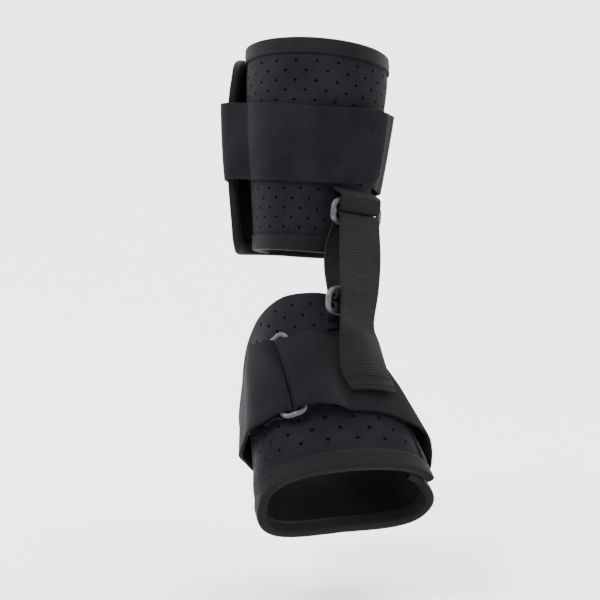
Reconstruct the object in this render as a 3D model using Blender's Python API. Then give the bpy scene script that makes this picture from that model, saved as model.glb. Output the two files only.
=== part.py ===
"""A foot drop brace as it is worn: a padded cuff, a foot wrap and the strap that joins them.

The origin is the centre of the ankle. +Z runs up the shin, the toes point to -Y and the
little toe's side is +X. Lengths are metres and angles are degrees.
"""
import math
from collections import namedtuple

import bmesh
import bpy
from mathutils import Vector

# Cloths
WALL = 0.0034            # perforated foam cloth of the cuff and the foot wrap
GAP = 0.0003             # what touching pieces keep between them
BINDING = 0.0008         # tape folded over the rims
TAPE_ROOM = 0.0004       # between the tape and the cloth inside it
BINDING_WIDTH = 0.0096   # how far the tape reaches in from a rim
WEBBING = 0.0016         # thickness of the webbing

# Cuff round the shin
CUFF_HEIGHT = 0.140
CUFF_WIDTH = 0.1005
CUFF_FLOOR = 0.0645      # its lower rim above the ankle's centre
CUFF_INNER_END = -126.0  # where the inner end lies, seen from above, 0 at the front
CUFF_FLAP_END = 272.0    # where the outer end lies, one turn later
FLAP_STAND = 0.0124      # how far the outer end stands off
FLAP_CORNER = 0.016

# Strap round the cuff
CUFF_STRAP_WIDTH = 0.0525
CUFF_STRAP_THICK = 0.0019
CUFF_STRAP_FLOOR = 0.0467   # its lower edge above the cuff's lower rim
CUFF_STRAP_START = 46.0
CUFF_STRAP_END = 417.0

# Rings and the webbing between them
WEBBING_WIDTH = 0.038
RING_BAR = 0.0043
RING_HEIGHT = 0.0215
RING_ROOM = 0.0016          # beside the webbing, inside a ring
STRAP_TURN = 43.0           # the way the connecting strap faces, from the front to the side
UPPER_RING_HEIGHT = 0.0915
UPPER_RING_REACH = 0.0498
LOWER_RING_HEIGHT = 0.0315
LOWER_RING_REACH = 0.0630
LOWER_RING_SIDE = -0.0134
LOWER_RING_TURN = 5.0
STRAP_DROP = 0.118          # from the upper ring to the free end

# Foot wrap
FOOT_LENGTH = 0.129         # from the ankle's centre to the toe rim
FOOT_RISE = 0.078           # from the sole to the ankle's centre
FOOT_WIDTH = 0.112
FOOT_YAW = 20.0
FOOT_PITCH = 20.0
FOOT_ROLL = 5.0
FOOT_FLAP_END = 66.0        # where the outer end lies, 0 on top, 90 at the little toe's side
FOOT_OVERLAP = 26.0

# Strap round the foot
FOOT_STRAP_THICK = 0.0022
ELASTIC_THICK = 0.0017
FOOT_RING_LENGTH = 0.067
FOOT_RING_WIDTH = 0.0220
FOOT_RING_AT = -41.0
STRAP_MEET = 122.0          # where strap and elastic end under the outer side

CuffRow = namedtuple("CuffRow", "height half_width half_depth side")
CUFF_ROWS = (
    CuffRow(0.00, 0.370, 0.394, 0.017),
    CuffRow(0.17, 0.399, 0.425, 0.018),
    CuffRow(0.53, 0.462, 0.485, 0.010),
    CuffRow(0.77, 0.494, 0.510, 0.008),
    CuffRow(0.89, 0.502, 0.520, 0.006),
    CuffRow(1.00, 0.500, 0.522, -0.006),
)

# Shares of CUFF_STRAP_WIDTH by which the edges of the cuff's strap rise, at each angle
BandRow = namedtuple("BandRow", "angle low high")
CUFF_STRAP_ROWS = (
    BandRow(0.0, -0.02, 0.94),
    BandRow(60.0, 0.00, 1.00),
    BandRow(90.0, -0.02, 1.03),
    BandRow(180.0, 0.02, 1.02),
    BandRow(270.0, 0.02, 1.04),
    BandRow(360.0, -0.03, 0.92),
    BandRow(418.0, 0.03, 1.00),
)

# Lengths are shares of FOOT_LENGTH, FOOT_RISE and FOOT_WIDTH
FootRow = namedtuple("FootRow", "forward top waist bottom lateral medial")
FOOT_ROWS = (
    FootRow(-0.08, 0.96, -0.15, -1.03, 0.325, 0.330),
    FootRow(0.12, 0.84, -0.20, -1.01, 0.335, 0.345),
    FootRow(0.28, 0.66, -0.26, -0.99, 0.360, 0.370),
    FootRow(0.47, 0.38, -0.36, -0.95, 0.408, 0.412),
    FootRow(0.66, 0.09, -0.49, -0.95, 0.472, 0.438),
    FootRow(0.83, -0.15, -0.59, -0.97, 0.518, 0.474),
    FootRow(1.00, -0.35, -0.65, -0.98, 0.530, 0.492),
    FootRow(1.10, -0.45, -0.68, -0.98, 0.533, 0.490),
)

# Shares of FOOT_LENGTH where the foot wrap and its strap start and end, round the foot
EdgeRow = namedtuple("EdgeRow", "angle wrap_rear wrap_rim strap_rear strap_front")
EDGE_ROWS = (
    EdgeRow(-180.0, 0.14, 0.96, 0.20, 0.62),
    EdgeRow(-130.0, 0.05, 0.99, 0.07, 0.48),
    EdgeRow(-90.0, -0.03, 1.00, 0.115, 0.59),
    EdgeRow(-67.0, 0.05, 1.00, 0.26, 0.69),
    EdgeRow(-45.0, 0.155, 1.00, 0.375, 0.74),
    EdgeRow(-20.0, 0.245, 1.00, 0.445, 0.757),
    EdgeRow(0.0, 0.272, 1.00, 0.47, 0.768),
    EdgeRow(30.0, 0.26, 0.995, 0.48, 0.765),
    EdgeRow(60.0, 0.11, 0.99, 0.47, 0.775),
    EdgeRow(90.0, -0.02, 0.98, 0.40, 0.80),
    EdgeRow(130.0, 0.05, 0.97, 0.33, 0.76),
    EdgeRow(180.0, 0.14, 0.96, 0.20, 0.62),
)

# The free run of the connecting strap. Drops are shares of STRAP_DROP, reaches and sides
# are shares of UPPER_RING_REACH, and turns are added to STRAP_TURN.
HangRow = namedtuple("HangRow", "drop reach side turn")
OUTER_ROWS = (
    HangRow(0.26, 1.255, -0.121, -1.0),
    HangRow(0.44, 1.385, -0.222, 4.0),
    HangRow(0.63, 1.405, -0.247, 9.0),
)
INNER_ROWS = (
    HangRow(0.08, 0.925, 0.00, 0.0),
    HangRow(0.20, 0.910, -0.08, 1.0),
    HangRow(0.33, 1.000, -0.17, 3.0),
)
# Where its free end lies on the foot: angles, shares of FOOT_LENGTH and lifts of the edges
LieRow = namedtuple("LieRow", "left left_at right right_at left_lift right_lift")
LIE_ROWS = (
    LieRow(4.0, 0.517, 46.0, 0.410, 0.0016, 0.0022),
    LieRow(2.0, 0.605, 41.0, 0.545, 0.0012, 0.0022),
    LieRow(5.0, 0.694, 38.0, 0.675, 0.0010, 0.0020),
)


def along(rows, column, x):
    """A column's value at x, on a smooth line through the rows."""
    xs = [row[0] for row in rows]
    ys = [getattr(row, column) for row in rows]
    x = min(max(x, xs[0]), xs[-1])
    last = len(xs) - 1
    k = 0
    while k < last - 1 and x > xs[k + 1]:
        k += 1
    slopes = []
    for i in (k, k + 1):
        low = max(i - 1, 0)
        high = min(i + 1, last)
        slopes.append((ys[high] - ys[low]) / (xs[high] - xs[low]))
    span = xs[k + 1] - xs[k]
    t = (x - xs[k]) / span
    return (ys[k] * (2 * t**3 - 3 * t**2 + 1) + ys[k + 1] * (3 * t**2 - 2 * t**3)
            + span * slopes[0] * (t**3 - 2 * t**2 + t) + span * slopes[1] * (t**3 - t**2))


def ease(x, low, high):
    """0 below low, 1 above high, and smooth between them."""
    t = min(max((x - low) / (high - low), 0.0), 1.0)
    return t * t * (3 - 2 * t)


def cuff_point(angle, height, off):
    """A point off the cuff's outer face, at a height above its lower rim."""
    share = height / CUFF_HEIGHT
    half_width = along(CUFF_ROWS, "half_width", share) * CUFF_WIDTH
    half_depth = along(CUFF_ROWS, "half_depth", share) * CUFF_WIDTH
    side = along(CUFF_ROWS, "side", share) * CUFF_WIDTH
    turn = math.radians(angle)
    normal = Vector((math.sin(turn) / half_width, -math.cos(turn) / half_depth, 0)).normalized()
    base = Vector((side + half_width * math.sin(turn), -half_depth * math.cos(turn),
                   CUFF_FLOOR + height))
    return base + off * normal


def cuff_off(angle, height):
    """How far the cuff's outer layer stands off where it overlaps the inner one."""
    share = min(max(height / CUFF_HEIGHT, 0.0), 1.0)
    sag = 1.10 + 0.18 * math.sin(math.pi * share) - 0.50 * share * share
    return FLAP_STAND * sag * ease(angle, 140.0, CUFF_FLAP_END - 14.0)


def foot_axes():
    """Directions of the foot: forward, to the little toe's side, and off the sole."""
    yaw, pitch, roll = (math.radians(a) for a in (FOOT_YAW, FOOT_PITCH, FOOT_ROLL))
    forward = Vector((math.sin(yaw) * math.cos(pitch), -math.cos(yaw) * math.cos(pitch),
                      -math.sin(pitch)))
    level = Vector((math.cos(yaw), math.sin(yaw), 0))
    rise = forward.cross(level)
    side = level * math.cos(roll) + rise * math.sin(roll)
    return forward, side, rise * math.cos(roll) - level * math.sin(roll)


def foot_base(angle, share):
    """A point of the foot wrap's outer face, at a share of the foot's length."""
    turn = math.radians(angle)
    across = math.sin(turn)
    up = math.cos(turn)
    top = along(FOOT_ROWS, "top", share) * FOOT_RISE
    waist = along(FOOT_ROWS, "waist", share) * FOOT_RISE
    bottom = along(FOOT_ROWS, "bottom", share) * FOOT_RISE
    width = along(FOOT_ROWS, "lateral" if across > 0 else "medial", share) * FOOT_WIDTH
    if up > 0:
        high = waist + (top - waist) * up
        across *= 1 + 0.20 * up * up * ease(share, 0.35, 0.85)
    else:
        high = waist + (waist - bottom) * up * (1.45 - 0.45 * up * up)
        across *= 1 - 0.12 * up
    forward, side, rise = foot_axes()
    return forward * share * FOOT_LENGTH + side * width * across + rise * high


def foot_point(angle, share, off):
    """A point off the foot wrap's outer face."""
    step = 0.004
    base = foot_base(angle, share)
    along_foot = foot_base(angle, share + step) - foot_base(angle, share - step)
    round_foot = foot_base(angle + 60 * step, share) - foot_base(angle - 60 * step, share)
    return base + off * along_foot.cross(round_foot).normalized()


def foot_edge(column, angle):
    """Where an edge lies at an angle round the foot, as a share of its length."""
    return along(EDGE_ROWS, column, (angle + 180.0) % 360.0 - 180.0)


def material(name, colour, rough, metal=0.0):
    made = bpy.data.materials.new(name)
    made.use_nodes = True
    shader = made.node_tree.nodes["Principled BSDF"]
    shader.inputs["Base Color"].default_value = (*colour, 1.0)
    shader.inputs["Roughness"].default_value = rough
    shader.inputs["Metallic"].default_value = metal
    return made


def keep(name, bm, mat, sharp=40.0):
    """Makes an object of a mesh, with its faces pointing out."""
    bmesh.ops.recalc_face_normals(bm, faces=bm.faces[:])
    if bm.calc_volume(signed=True) < 0:
        bmesh.ops.reverse_faces(bm, faces=bm.faces[:])
    mesh = bpy.data.meshes.new(name)
    bm.to_mesh(mesh)
    bm.free()
    mesh.shade_smooth()
    mesh.set_sharp_from_angle(angle=math.radians(sharp))
    mesh.materials.append(mat)
    made = bpy.data.objects.new(name, mesh)
    bpy.context.scene.collection.objects.link(made)
    return made


def slab(name, mat, long_cells, wide_cells, place):
    """A closed sheet: place(u, v, face) gives its outer face for 0 and its inner one for 1."""
    bm = bmesh.new()
    bmesh.ops.create_grid(bm, x_segments=long_cells, y_segments=wide_cells, size=0.5)
    shares = [(vert.co.x + 0.5, vert.co.y + 0.5) for vert in bm.verts]
    outer = bm.verts[:]
    made = bmesh.ops.extrude_face_region(bm, geom=bm.faces[:], use_keep_orig=True)
    inner = [item for item in made["geom"] if isinstance(item, bmesh.types.BMVert)]
    for vert in inner:
        vert.co = place(vert.co.x + 0.5, vert.co.y + 0.5, 1)
    for vert, (u, v) in zip(outer, shares):
        vert.co = place(u, v, 0)
    return keep(name, bm, mat)


def sweep(name, mat, sections, closed=False, sharp=40.0):
    """A closed solid through rings of points, joined in turn."""
    bm = bmesh.new()
    rings = []
    for points in sections:
        verts = [bm.verts.new(p) for p in points]
        edges = [bm.edges.new((verts[i - 1], verts[i])) for i in range(len(verts))]
        rings.append(edges)
    if not closed:
        for edges in (rings[0], rings[-1]):
            bmesh.ops.contextual_create(bm, geom=edges)
    pairs = list(zip(rings, rings[1:]))
    if closed:
        pairs.append((rings[-1], rings[0]))
    for one, two in pairs:
        bmesh.ops.bridge_loops(bm, edges=one + two)
    return keep(name, bm, mat, sharp)


def tape_section(edge, inward, surface, wall_off):
    """The tape's folded section round a rim: edge and inward are lengths on the surface."""
    outer = TAPE_ROOM + BINDING
    section = (
        (BINDING_WIDTH, outer), (-outer, outer), (-outer, -WALL - outer),
        (BINDING_WIDTH, -WALL - outer), (BINDING_WIDTH, -WALL - TAPE_ROOM),
        (-TAPE_ROOM, -WALL - TAPE_ROOM), (-TAPE_ROOM, TAPE_ROOM), (BINDING_WIDTH, TAPE_ROOM),
    )
    points = []
    for depth, off in section:
        x = edge[0] + inward[0] * depth
        y = edge[1] + inward[1] * depth
        points.append(surface(x, y, off + wall_off(x, y)))
    return points


# Cuff

CUFF_ROUND = CUFF_WIDTH * 0.47 * math.pi / 180.0   # length of one degree round the cuff


CUFF_CELLS = 42
CORNER_CELLS = 6
CUFF_RISES = 7


def cuff_stop(i):
    """Angle, lower rim and upper rim at a station along the cuff; the last turn a corner."""
    last = CUFF_FLAP_END - FLAP_CORNER / CUFF_ROUND
    turn = 0.5 * math.pi * max(i - CUFF_CELLS, 0) / CORNER_CELLS
    angle = CUFF_INNER_END + (last - CUFF_INNER_END) * min(i, CUFF_CELLS) / CUFF_CELLS
    angle += FLAP_CORNER * math.sin(turn) / CUFF_ROUND
    cut = FLAP_CORNER * (1 - math.cos(turn))
    drop = 0.025 * CUFF_HEIGHT * ease(angle, 200.0, CUFF_FLAP_END)
    return angle, cut - drop, CUFF_HEIGHT - drop - cut, turn


def cuff_rise(low, high, k):
    """Height of the kth row of the cuff, with a row where the tape on each rim ends."""
    edge = min(BINDING_WIDTH, 0.2 * (high - low))
    if k < 2:
        return low + edge * k
    if k > CUFF_RISES - 2:
        return high - edge * (CUFF_RISES - k)
    return 0.5 * (low + high) + CUFF_HEIGHT * ((k - 1) / (CUFF_RISES - 2) - 0.5)


def cuff_wall(mat):
    count = CUFF_CELLS + CORNER_CELLS

    def place(u, v, face):
        angle, low, high, _ = cuff_stop(round(u * count))
        height = cuff_rise(low, high, round(v * CUFF_RISES))
        return cuff_point(angle, height, cuff_off(angle, height) - WALL * face)

    return slab("cuff_wrap", mat, count, CUFF_RISES, place)


def cuff_binding(mat):
    """Tape along the upper rim, down the flap's end and along the lower rim."""
    upper = []
    lower = []
    count = CUFF_CELLS + CORNER_CELLS
    for i in range(count + 1):
        angle, low, high, turn = cuff_stop(i)
        aside = -math.sin(turn) / CUFF_ROUND
        upper.append(((angle, high), (aside, -math.cos(turn))))
        lower.append(((angle, low), (aside, math.cos(turn))))
    angle, low, high, _ = cuff_stop(count)
    end = []
    for k in range(CUFF_RISES - 1, 0, -1):
        end.append(((angle, cuff_rise(low, high, k)), (-1 / CUFF_ROUND, 0.0)))
    sections = [tape_section(edge, inward, cuff_point, cuff_off)
                for edge, inward in upper + end + lower[::-1]]
    return sweep("cuff_binding", mat, sections)


def cuff_strap_off(angle):
    """Inner face of the cuff's strap off the cuff: over the flap, the tab and itself."""
    clear = TAPE_ROOM + BINDING + GAP
    if angle < 300.0:
        flap = max(cuff_off(angle, share * CUFF_HEIGHT) for share in (0.3, 0.5, 0.75))
        stand = 0.0058 * ease(angle, 52.0, 84.0) * (1 - ease(angle, 110.0, 165.0))
        start = WEBBING + 2 * GAP + clear
        off = max(clear, flap + GAP + clear, start * (1 - ease(angle, 60.0, 76.0)) + stand)
        return off if angle < CUFF_FLAP_END - 6 else max(
            clear, off * (1 - ease(angle, CUFF_FLAP_END + 2, CUFF_FLAP_END + 28)))
    return (clear + (WEBBING + 2 * GAP) * ease(angle, 352.0, 374.0)
            + (CUFF_STRAP_THICK + 4 * GAP) * ease(angle, 384.0, 402.0)
            + 0.0022 * ease(angle, 402.0, 417.0))


def cuff_strap(mat):
    span = CUFF_STRAP_END - CUFF_STRAP_START
    corner = 0.010

    def place(u, v, face):
        if u > 0.96:
            u = 0.96 + 0.04 * math.sin(0.5 * math.pi * (u - 0.96) / 0.04)
        angle = CUFF_STRAP_START + span * u
        left = (CUFF_STRAP_END - angle) * CUFF_ROUND
        cut = 0.0
        if left < corner:
            reach = corner - left
            cut = 0.7 * (corner - math.sqrt(max(corner**2 - reach**2, 0.0)))
        low = CUFF_STRAP_FLOOR + along(CUFF_STRAP_ROWS, "low", angle) * CUFF_STRAP_WIDTH + cut
        high = CUFF_STRAP_FLOOR + along(CUFF_STRAP_ROWS, "high", angle) * CUFF_STRAP_WIDTH - cut
        height = low + (high - low) * v
        return cuff_point(angle, height, cuff_strap_off(angle) + CUFF_STRAP_THICK * (1 - face))

    return slab("cuff_strap", mat, 72, 2, place)


# Rings and webbing

def strap_axes(turn):
    """Across and off directions of webbing that faces turn degrees from the front."""
    angle = math.radians(turn)
    return (Vector((math.cos(angle), math.sin(angle), 0)),
            Vector((math.sin(angle), -math.cos(angle), 0)))


def ring(name, mat, place, length, height, bar):
    """An oval loop of round bar: place(along, up) gives points of its middle surface."""
    bend = 0.5 * height - 0.5 * bar
    straight = 0.5 * length - 0.5 * height
    sections = []
    count = 8
    for end in (1.0, -1.0):
        for i in range(count + 1):
            turn = math.radians(90.0 - 180.0 * i / count)
            x = end * (straight + bend * math.cos(turn))
            y = end * bend * math.sin(turn)
            middle_spot = place(x, y)
            out = (place(x + 0.001 * end * math.cos(turn), y + 0.001 * end * math.sin(turn))
                   - middle_spot).normalized()
            ahead = (place(x + 0.001 * end * math.sin(turn), y - 0.001 * end * math.cos(turn))
                     - middle_spot).normalized()
            off = ahead.cross(out)
            points = []
            for k in range(8):
                spin = 2 * math.pi * (k + 0.5) / 8
                points.append(middle_spot
                              + 0.5 * bar * (out * math.cos(spin) + off * math.sin(spin)))
            sections.append(points)
    return sweep(name, mat, sections, closed=True, sharp=60.0)


UP = Vector((0, 0, 1))
ACROSS, OUT = strap_axes(STRAP_TURN)
RING_LENGTH = WEBBING_WIDTH + 2 * RING_ROOM + 2 * RING_BAR
BEND = 0.5 * RING_BAR + 2 * GAP + 0.5 * WEBBING       # webbing's middle round a bar
UPPER_RING = OUT * UPPER_RING_REACH + UP * UPPER_RING_HEIGHT
LOWER_RING = OUT * LOWER_RING_REACH + ACROSS * LOWER_RING_SIDE + UP * LOWER_RING_HEIGHT
LOWER_ACROSS, LOWER_OUT = strap_axes(STRAP_TURN + LOWER_RING_TURN)
MEET = 0.5 * WEBBING + 2 * GAP                        # half the room between two folds


def span_at(centre, across):
    """Points across webbing with its middle at a point."""
    return tuple(centre + across * WEBBING_WIDTH * (0.25 * k - 0.5) for k in range(5))


def fold(centre, across, off, up, start, stop, count=8):
    """Rows of webbing round a bar, from one angle to another; 0 is outward, 90 is up."""
    path = []
    for i in range(count + 1):
        turn = math.radians(start + (stop - start) * i / count)
        way = off * math.cos(turn) + up * math.sin(turn)
        path.append(span_at(centre + way * BEND, across))
    return path


def smooth_run(rows, cells):
    """More rows of points on smooth lines through the given rows."""
    path = []
    last = len(rows) - 1
    for i in range(last * cells + 1):
        at = i / cells
        k = min(int(at), last - 1)
        t = at - k
        four = [rows[min(max(k + j, 0), last)] for j in (-1, 0, 1, 2)]
        row = []
        for a, b, c, d in zip(*four):
            row.append(0.5 * (2 * b + (c - a) * t + (2 * a - 5 * b + 4 * c - d) * t**2
                              + (3 * b - 3 * c + d - a) * t**3))
        path.append(tuple(row))
    return path


def ribbon(name, mat, path):
    """Webbing with its middle at rows of points."""
    count = len(path) - 1

    def place(u, v, face):
        i = round(u * count)
        j = round(v * 4)
        ahead = path[min(i + 1, count)][j] - path[max(i - 1, 0)][j]
        aside = path[i][min(j + 1, 4)] - path[i][max(j - 1, 0)]
        return path[i][j] + aside.cross(ahead).normalized() * WEBBING * (0.5 - face)

    return slab(name, mat, count, 4, place)


def middle(row):
    return row[2]


def on_cuff(height):
    """A row of the tab where it lies on the cuff."""
    row = []
    for k in range(5):
        wide = WEBBING_WIDTH * (0.25 * k - 0.5)
        angle = STRAP_TURN + wide / (0.44 * CUFF_WIDTH) * 180.0 / math.pi
        row.append(cuff_point(angle, height, 2 * GAP + 0.5 * WEBBING))
    return tuple(row)


def ring_tab(mat):
    """The webbing tab sewn on the cuff under its strap, folded through the upper ring."""
    top = CUFF_STRAP_FLOOR + 0.34 * CUFF_STRAP_WIDTH
    leave = CUFF_STRAP_FLOOR - 0.04 * CUFF_STRAP_WIDTH
    bend = fold(UPPER_RING + UP * (MEET + BEND), ACROSS, OUT, UP, 0, -180)
    start = middle(bend[0]).z - CUFF_FLOOR
    path = [on_cuff(top + (leave - top) * i / 6) for i in range(7)]
    clear = middle(bend[0]).z - CUFF_FLOOR + 0.5 * RING_HEIGHT - MEET - BEND + 2 * GAP
    for share, hold in ((0.33, 0.30), (0.67, 0.76), (1.0, 1.0)):
        height = leave + (clear - leave) * share
        free = span_at(middle(bend[0]) + UP * (height - start), ACROSS)
        path.append(tuple(a.lerp(b, hold) for a, b in zip(on_cuff(height), free)))
    path += bend
    for rise in (0.002, 0.004):
        path.append(span_at(middle(bend[-1]) + UP * rise, ACROSS))
    return ribbon("ring_tab", mat, path)


def hang(row):
    """The connecting strap at a row of its free run."""
    across = strap_axes(STRAP_TURN + row.turn)[0]
    centre = (OUT * UPPER_RING_REACH * row.reach + ACROSS * UPPER_RING_REACH * row.side
              + UP * (UPPER_RING_HEIGHT - STRAP_DROP * row.drop))
    return span_at(centre, across)


def lie(row):
    """The connecting strap at a row where it lies on the strap round the foot."""
    points = []
    for k in range(5):
        share = 0.25 * k
        angle = row.left + (row.right - row.left) * share
        at = row.left_at + (row.right_at - row.left_at) * share
        lift = row.left_lift + (row.right_lift - row.left_lift) * share
        off = strap_off(angle) + ELASTIC_THICK + 2 * GAP + 0.5 * WEBBING + lift
        points.append(foot_point(angle, at, off))
    return tuple(points)


def connecting_strap(mat):
    """Tail through the lower ring, inner run, fold in the upper ring, outer run, free end."""
    upper_fold = UPPER_RING - UP * (MEET + BEND)
    lower_fold = LOWER_RING + UP * (MEET + BEND)
    bend = fold(lower_fold, LOWER_ACROSS, LOWER_OUT, UP, 0, -180)
    front = lower_fold + LOWER_OUT * BEND
    tail = [span_at(front + UP * rise, LOWER_ACROSS) for rise in (0.003, 0.0015)]
    top = fold(upper_fold, ACROSS, OUT, UP, 180, 0)
    inner = smooth_run([bend[-1]] + [hang(row) for row in INNER_ROWS[::-1]] + [top[0]], 4)
    outer = smooth_run([top[-1]] + [hang(row) for row in OUTER_ROWS]
                       + [lie(row) for row in LIE_ROWS], 6)
    return ribbon("connecting_strap", mat, tail + bend + inner[1:-1] + top + outer[1:])


# Foot wrap

FOOT_ROUND = FOOT_WIDTH * 0.42 * math.pi / 180.0   # length of one degree round the foot


def foot_off(angle, share):
    """The wrap's outer face: under the outer end it dips by a wall and its tapes."""
    dip = WALL + 2 * BINDING + 2 * TAPE_ROOM + 2 * GAP
    return -dip * (1 - ease(angle, FOOT_FLAP_END - 357.0, FOOT_FLAP_END - 319.0))


FOOT_CELLS = 50


def foot_stop(i):
    """Angle at a station round the foot wrap, from its inner to its outer end."""
    first = FOOT_FLAP_END - 360.0 - FOOT_OVERLAP
    return first + (FOOT_FLAP_END - first) * i / FOOT_CELLS


def foot_wall(mat):
    def place(u, v, face):
        angle = foot_stop(round(u * FOOT_CELLS))
        rear = foot_edge("wrap_rear", angle)
        rim = foot_edge("wrap_rim", angle)
        taped = rim - BINDING_WIDTH / FOOT_LENGTH
        share = rim if v > 0.99 else rear + (taped - rear) * round(v * 8) / 7
        return foot_point(angle, share, foot_off(angle, share) - WALL * face)

    return slab("foot_wrap", mat, FOOT_CELLS, 8, place)


def toe_binding(mat):
    """Tape along the toe rim, short of the tape on the outer end."""
    sections = []
    for i in range(FOOT_CELLS + 1):
        angle = foot_stop(i)
        if i == FOOT_CELLS:
            angle -= 2 * GAP / FOOT_ROUND
        edge = (angle, foot_edge("wrap_rim", angle))
        sections.append(tape_section(edge, (0.0, -1.0 / FOOT_LENGTH), foot_point, foot_off))
    return sweep("toe_binding", mat, sections)


def flap_binding(mat):
    """Tape along the outer end, from the toe rim's tape to the rear edge."""
    sections = []
    count = 16
    rim = foot_edge("wrap_rim", FOOT_FLAP_END) - (BINDING_WIDTH + 2 * GAP) / FOOT_LENGTH
    rear = foot_edge("wrap_rear", FOOT_FLAP_END) + 2 * GAP / FOOT_LENGTH
    for i in range(count + 1):
        edge = (FOOT_FLAP_END, rim + (rear - rim) * i / count)
        sections.append(tape_section(edge, (-1.0 / FOOT_ROUND, 0.0), foot_point, foot_off))
    return sweep("flap_binding", mat, sections)


# Strap round the foot

def strap_off(angle):
    """Inner face of the strap off the foot wrap."""
    clear = TAPE_ROOM + BINDING + 2 * GAP
    lift = 0.0070 * ease(angle, 36.0, 72.0) * (1 - ease(angle, 104.0, 130.0))
    side = 0.0022 * ease(angle, -150.0, -110.0) * (1 - ease(angle, -66.0, -50.0))
    return clear + lift + side


def band_path(angles, offs, thick, name, mat, cells=4):
    """Webbing on the foot through stations of angle and offset of its middle."""
    count = len(angles) - 1
    flat = [Vector((a * FOOT_ROUND, o)) for a, o in zip(angles, offs)]
    ways = []
    for i in range(count + 1):
        ahead = (flat[min(i + 1, count)] - flat[max(i - 1, 0)]).normalized()
        ways.append(Vector((-ahead.y, ahead.x)))

    def place(u, v, face):
        i = round(u * count)
        spot = flat[i] + ways[i] * thick * (0.5 - face)
        angle = spot.x / FOOT_ROUND
        rear = foot_edge("strap_rear", angles[i])
        front = foot_edge("strap_front", angles[i])
        return foot_point(angle, rear + (front - rear) * v, spot.y)

    return slab(name, mat, count, cells, place)


def loop_stations(side, thick, far, clear, steps):
    """Angles and offsets: tail under the ring, fold at its middle, and the run to far."""
    middle = clear + FOOT_STRAP_THICK + 2 * GAP + 0.5 * RING_BAR
    reach = 0.5 * RING_BAR + 2 * GAP + 0.5 * thick
    under = middle - reach
    over = middle + reach
    radius = 0.5 * (over - under)
    fold_at = FOOT_RING_AT + side * (0.5 * thick + GAP + radius) / FOOT_ROUND
    angles = []
    offs = []
    for reach in (0.015, 0.012, 0.009):
        angles.append(fold_at + side * reach / FOOT_ROUND)
        offs.append(under)
    for i in range(9):
        turn = math.radians(-90 + 180 * i / 8)
        angles.append(fold_at - side * radius * math.cos(turn) / FOOT_ROUND)
        offs.append(middle + radius * math.sin(turn))
    begin = fold_at
    for i in range(1, steps + 1):
        angle = begin + (far - begin) * i / steps
        gone = abs(angle - begin) * FOOT_ROUND
        rest = strap_off(angle) + 0.5 * thick
        tail = over + (rest - over) * ease(gone, 0.014, 0.030)
        angles.append(angle)
        offs.append(tail)
    return angles, offs


def foot_strap(mat):
    clear = strap_off(FOOT_RING_AT)
    angles, offs = loop_stations(-1.0, FOOT_STRAP_THICK, STRAP_MEET - 360.0, clear, 40)
    return band_path(angles, offs, -FOOT_STRAP_THICK, "foot_strap", mat)


def foot_elastic(mat):
    clear = strap_off(FOOT_RING_AT)
    angles, offs = loop_stations(1.0, ELASTIC_THICK, STRAP_MEET - 2.0, clear, 30)
    return band_path(angles, offs, ELASTIC_THICK, "foot_elastic", mat)


def foot_ring(mat):
    rear = foot_edge("strap_rear", FOOT_RING_AT)
    front = foot_edge("strap_front", FOOT_RING_AT)
    high = strap_off(FOOT_RING_AT) + FOOT_STRAP_THICK + 2 * GAP + 0.5 * RING_BAR

    def place(x, y):
        return foot_point(FOOT_RING_AT + y / FOOT_ROUND, 0.5 * (rear + front) + x / FOOT_LENGTH,
                          high)

    return ring("foot_ring", mat, place, FOOT_RING_LENGTH, FOOT_RING_WIDTH, RING_BAR)


def settle(target, off):
    """The point off the foot wrap that lies nearest to a target."""
    angle = 20.0
    share = 0.35
    reach = (24.0, 0.12)
    for _ in range(14):
        spots = [(angle + reach[0] * i, share + reach[1] * k)
                 for i in (-1, 0, 1) for k in (-1, 0, 1)]
        angle, share = min(spots, key=lambda at: (foot_point(*at, off) - target).length)
        reach = (reach[0] * 0.6, reach[1] * 0.6)
    return foot_point(angle, share, off)


def lower_tab(mat):
    """The webbing tab that holds the lower ring on the foot wrap's instep."""
    bend = fold(LOWER_RING - UP * (MEET + BEND), LOWER_ACROSS, LOWER_OUT, UP, 0, 180)
    path = [span_at(middle(bend[0]) - UP * drop, LOWER_ACROSS) for drop in (0.004, 0.002)]
    path += bend
    for drop, hold in ((0.0015, 0.9), (0.004, 0.5), (0.007, 0.1), (0.0095, 0.0), (0.012, 0.0)):
        spots = span_at(middle(bend[-1]) + (OUT * 0.5 - UP * 0.86) * drop, LOWER_ACROSS)
        path.append(tuple(settle(spot, 2 * GAP + 0.5 * WEBBING).lerp(spot, hold)
                          for spot in spots))
    return ribbon("lower_tab", mat, path)


def main():
    for item in list(bpy.data.objects):
        bpy.data.objects.remove(item, do_unlink=True)
    foam = material("foam cloth", (0.012, 0.012, 0.015), 0.85)
    tape = material("edge tape", (0.020, 0.020, 0.021), 0.70)
    loop = material("loop cloth", (0.016, 0.015, 0.018), 0.95)
    web = material("ribbed webbing", (0.020, 0.018, 0.022), 0.75)
    plastic = material("grey plastic", (0.160, 0.160, 0.170), 0.35)
    cuff_wall(foam)
    cuff_binding(tape)
    cuff_strap(loop)
    ring_tab(web)
    for name, centre, across in (("upper_ring", UPPER_RING, ACROSS),
                                 ("lower_ring", LOWER_RING, LOWER_ACROSS)):
        ring(name, plastic, lambda x, y: centre + across * x + UP * y, RING_LENGTH,
             RING_HEIGHT, RING_BAR)
    connecting_strap(web)
    lower_tab(web)
    foot_wall(foam)
    toe_binding(tape)
    flap_binding(tape)
    foot_strap(loop)
    foot_elastic(web)
    foot_ring(plastic)


main()
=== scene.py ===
"""The looks of a foot drop brace in its worn shape.

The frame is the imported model's: metres, the origin at the ankle's centre, +Z up the shin, the
toes to -Y and the little toe's side to +X. Angles are degrees.
"""
import math
from collections import namedtuple

import bmesh
import bpy
from mathutils import Matrix, Vector, noise


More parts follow.
